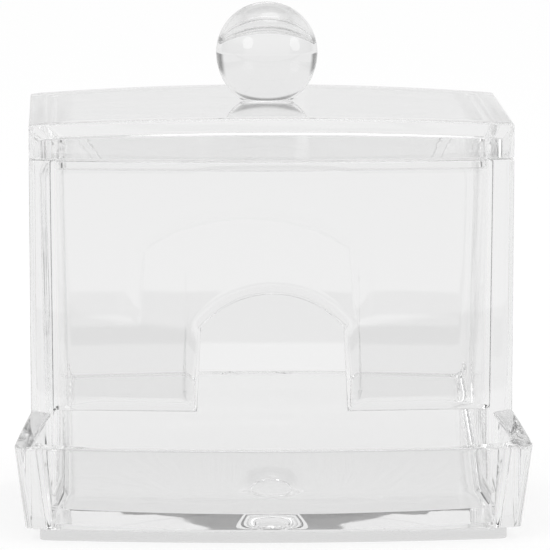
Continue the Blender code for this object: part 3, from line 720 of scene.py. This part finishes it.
# Matt white paper that also glows, in the share given, where it is seen straight, through the plastic or
# mirrored in it. In the plastic its glow is as grey as the surround. It is dark in a strip in front,
# whose mirror image in the walls gives their faint dark bands. Under the object its glow in the plastic is
# a little darker: a painted shadow of the object, which is not seen straight.
def makeFloor():
    size = floor["half"]
    mesh = bpy.data.meshes.new("floorForm")
    corners = [(-size, -size, 0), (size, -size, 0), (size, size, 0), (-size, size, 0)]
    mesh.from_pydata(corners, [], [(0, 1, 2, 3)])
    floorObject = bpy.data.objects.new("floor", mesh)
    bpy.context.scene.collection.objects.link(floorObject)
    paper = bpy.data.materials.new("mattWhitePaper")
    paper.use_nodes = True
    tree = paper.node_tree
    shader = tree.nodes["Principled BSDF"]
    shader.inputs["Base Color"].default_value = hexColour(floor["colour"])
    shader.inputs["Roughness"].default_value = floor["roughness"]
    rays = addNode(tree, "ShaderNodeLightPath")
    straight = addNode(tree, "ShaderNodeMath", {"operation": "MAXIMUM"},
                       links={0: rays.outputs["Is Camera Ray"], 1: rays.outputs["Is Transmission Ray"]})
    seen = addNode(tree, "ShaderNodeMath", {"operation": "MAXIMUM"},
                   links={0: straight.outputs[0], 1: rays.outputs["Is Glossy Ray"]})
    share = addNode(tree, "ShaderNodeMath", {"operation": "MULTIPLY"}, {1: floor["glow"]},
                    {0: seen.outputs[0]})
    where = addNode(tree, "ShaderNodeSeparateXYZ",
                    links={"Vector": addNode(tree, "ShaderNodeTexCoord").outputs["Object"]})
    fromGap = addNode(tree, "ShaderNodeMath", {"operation": "SUBTRACT"}, {1: floor["darkStripMiddle"]},
                      {0: where.outputs["Y"]})
    distance = addNode(tree, "ShaderNodeMath", {"operation": "ABSOLUTE"}, links={0: fromGap.outputs[0]})
    # a strip in front whose glow, seen through or mirrored in the plastic, is dark
    gap = addNode(
        tree, "ShaderNodeMapRange", {"interpolation_type": "SMOOTHSTEP"},
        {"From Min": floor["darkStripHalf"] + floor["darkStripSoft"], "From Max": floor["darkStripHalf"] - floor["darkStripSoft"],
         "To Min": greySurround, "To Max": floor["gap"]},
        {"Value": distance.outputs[0]},
    )
    acrossX = addNode(tree, "ShaderNodeMath", {"operation": "ABSOLUTE"}, links={0: where.outputs["X"]})
    acrossY = addNode(tree, "ShaderNodeMath", {"operation": "ABSOLUTE"}, links={0: where.outputs["Y"]})
    away = addNode(tree, "ShaderNodeMath", {"operation": "MAXIMUM"},
                   links={0: acrossX.outputs[0], 1: acrossY.outputs[0]})
    # painted shadow: the glow seen through or mirrored in the plastic is lowered under the object
    under = addNode(
        tree, "ShaderNodeMapRange", {"interpolation_type": "SMOOTHSTEP"},
        {"From Min": floor["paintedShadeEdge"], "From Max": floor["paintedShadeFull"],
         "To Min": greySurround, "To Max": floor["under"]},
        {"Value": away.outputs[0]},
    )
    darker = addNode(tree, "ShaderNodeMath", {"operation": "MINIMUM"},
                     links={0: gap.outputs["Result"], 1: under.outputs["Result"]})
    strength = addNode(
        tree, "ShaderNodeMapRange", values={"To Max": 1.0},
        links={"Value": rays.outputs["Is Camera Ray"], "To Min": darker.outputs[0]},
    )
    glow = addNode(tree, "ShaderNodeEmission", links={"Strength": strength.outputs["Result"]})
    mixed = addNode(
        tree, "ShaderNodeMixShader",
        links={"Fac": share.outputs[0], 1: shader.outputs["BSDF"], 2: glow.outputs["Emission"]},
    )
    tree.links.new(mixed.outputs["Shader"], tree.nodes["Material Output"].inputs["Surface"])
    mesh.materials.append(paper)


makeFloor()

surround = {
    "dark": 0.12, "sideFrom": 0.72, "sideFull": 0.86, "sideTop": 0.45, "sideTopFull": 0.225,
    "bandMiddle": 0.78, "bandEnd": 0.13, "bandFull": 0.04, "bandShare": 0.85,
    "rearFrom": -0.1, "rearFull": 0.15,
}


# The surround's level depends on a ray's direction (x, y, z) alone. It is dark low down at both sides,
# where |x| is large and |z| small, and in a band high up behind, where z is near the band's middle and
# y is positive. These draw the dark lines in the clear edges and the stripe at the ramp's front end.
def makeSurround():
    world = bpy.data.worlds.new("whiteSurround")
    bpy.context.scene.world = world
    world.use_nodes = True
    tree = world.node_tree
    background = tree.nodes["Background"]
    rays = addNode(tree, "ShaderNodeLightPath")
    direction = addNode(tree, "ShaderNodeSeparateXYZ",
                        links={"Vector": addNode(tree, "ShaderNodeTexCoord").outputs["Generated"]})
    sideways = addNode(tree, "ShaderNodeMath", {"operation": "ABSOLUTE"}, links={0: direction.outputs["X"]})
    upright = addNode(tree, "ShaderNodeMath", {"operation": "ABSOLUTE"}, links={0: direction.outputs["Z"]})
    low = addNode(
        tree, "ShaderNodeMapRange", {"interpolation_type": "SMOOTHSTEP"},
        {"From Min": surround["sideTop"], "From Max": surround["sideTopFull"]},
        {"Value": upright.outputs[0]},
    )
    side = addNode(
        tree, "ShaderNodeMapRange", {"interpolation_type": "SMOOTHSTEP"},
        {"From Min": surround["sideFrom"], "From Max": surround["sideFull"]},
        {"Value": sideways.outputs[0]},
    )
    lowSide = addNode(tree, "ShaderNodeMath", {"operation": "MULTIPLY"},
                      links={0: low.outputs["Result"], 1: side.outputs["Result"]})
    fromBand = addNode(tree, "ShaderNodeMath", {"operation": "SUBTRACT"}, {1: surround["bandMiddle"]},
                       {0: direction.outputs["Z"]})
    offBand = addNode(tree, "ShaderNodeMath", {"operation": "ABSOLUTE"}, links={0: fromBand.outputs[0]})
    above = addNode(
        tree, "ShaderNodeMapRange", {"interpolation_type": "SMOOTHSTEP"},
        {"From Min": surround["bandEnd"], "From Max": surround["bandFull"],
         "To Max": surround["bandShare"]},
        {"Value": offBand.outputs[0]},
    )
    rear = addNode(
        tree, "ShaderNodeMapRange", {"interpolation_type": "SMOOTHSTEP"},
        {"From Min": surround["rearFrom"], "From Max": surround["rearFull"]},
        {"Value": direction.outputs["Y"]},
    )
    band = addNode(tree, "ShaderNodeMath", {"operation": "MULTIPLY"},
                   links={0: above.outputs["Result"], 1: rear.outputs["Result"]})
    dark = addNode(tree, "ShaderNodeMath", {"operation": "MAXIMUM"},
                   links={0: lowSide.outputs[0], 1: band.outputs[0]})
    around = addNode(
        tree, "ShaderNodeMapRange", values={"To Min": greySurround, "To Max": surround["dark"]},
        links={"Value": dark.outputs[0]},
    )
    plain = addNode(tree, "ShaderNodeMath", {"operation": "MAXIMUM"},
                    links={0: rays.outputs["Is Camera Ray"], 1: rays.outputs["Is Diffuse Ray"]})
    level = addNode(
        tree, "ShaderNodeMapRange", values={"To Max": 1.0},
        links={"Value": plain.outputs[0], "To Min": around.outputs["Result"]},
    )
    tree.links.new(level.outputs["Result"], background.inputs["Strength"])
    background.inputs["Color"].default_value = (1, 1, 1, 1)


makeSurround()

# Each soft lamp has a place, a width and a power in watts. All of them face the object's middle.
lamps = {
    "leftLamp": {"place": (-0.75, -0.65, 0.5), "width": 0.5, "power": 1.2},
    "rightLamp": {"place": (0.95, -0.35, 0.4), "width": 0.5, "power": 1.2},
    "topLamp": {"place": (0.1, 0.05, 1.1), "width": 0.6, "power": 1.4},
}
lampAim = (0, 0, 0.05)


def makeLamp(name, lamp):
    light = bpy.data.lights.new(name, "AREA")
    light.shape = "DISK"
    light.size = lamp["width"]
    light.energy = lamp["power"]
    lampObject = bpy.data.objects.new(name, light)
    lampObject.location = lamp["place"]
    towards = Vector(lampAim) - Vector(lamp["place"])
    lampObject.rotation_euler = towards.to_track_quat("-Z", "Y").to_euler()
    bpy.context.scene.collection.objects.link(lampObject)


for name, lamp in lamps.items():
    makeLamp(name, lamp)
print("room made")

# The camera stands a little left of the middle and looks down. Angles are in degrees, the lens and the
# sensor's width in millimetres.
camera = {
    "place": (-0.0396, -1.4723, 0.2059), "down": 6.14, "turn": -1.596,
    "lens": 483.5, "sensor": 36, "nearest": 0.01, "farthest": 50,
}


def makeCamera():
    data = bpy.data.cameras.new("viewCamera")
    data.sensor_width = camera["sensor"]
    data.lens = camera["lens"]
    data.clip_start, data.clip_end = camera["nearest"], camera["farthest"]
    viewer = bpy.data.objects.new("viewCamera", data)
    viewer.location = camera["place"]
    viewer.rotation_euler = (math.radians(90 - camera["down"]), 0, math.radians(camera["turn"]))
    bpy.context.scene.collection.objects.link(viewer)
    bpy.context.scene.camera = viewer


makeCamera()
bpy.context.scene.view_settings.view_transform = "Standard"

bounces = 48  # with fewer, the many clear walls behind one another turn black
bpy.context.scene.cycles.max_bounces = bounces
bpy.context.scene.cycles.transmission_bounces = bounces
bpy.context.scene.cycles.glossy_bounces = bounces
print("camera made")

print("scene ready")
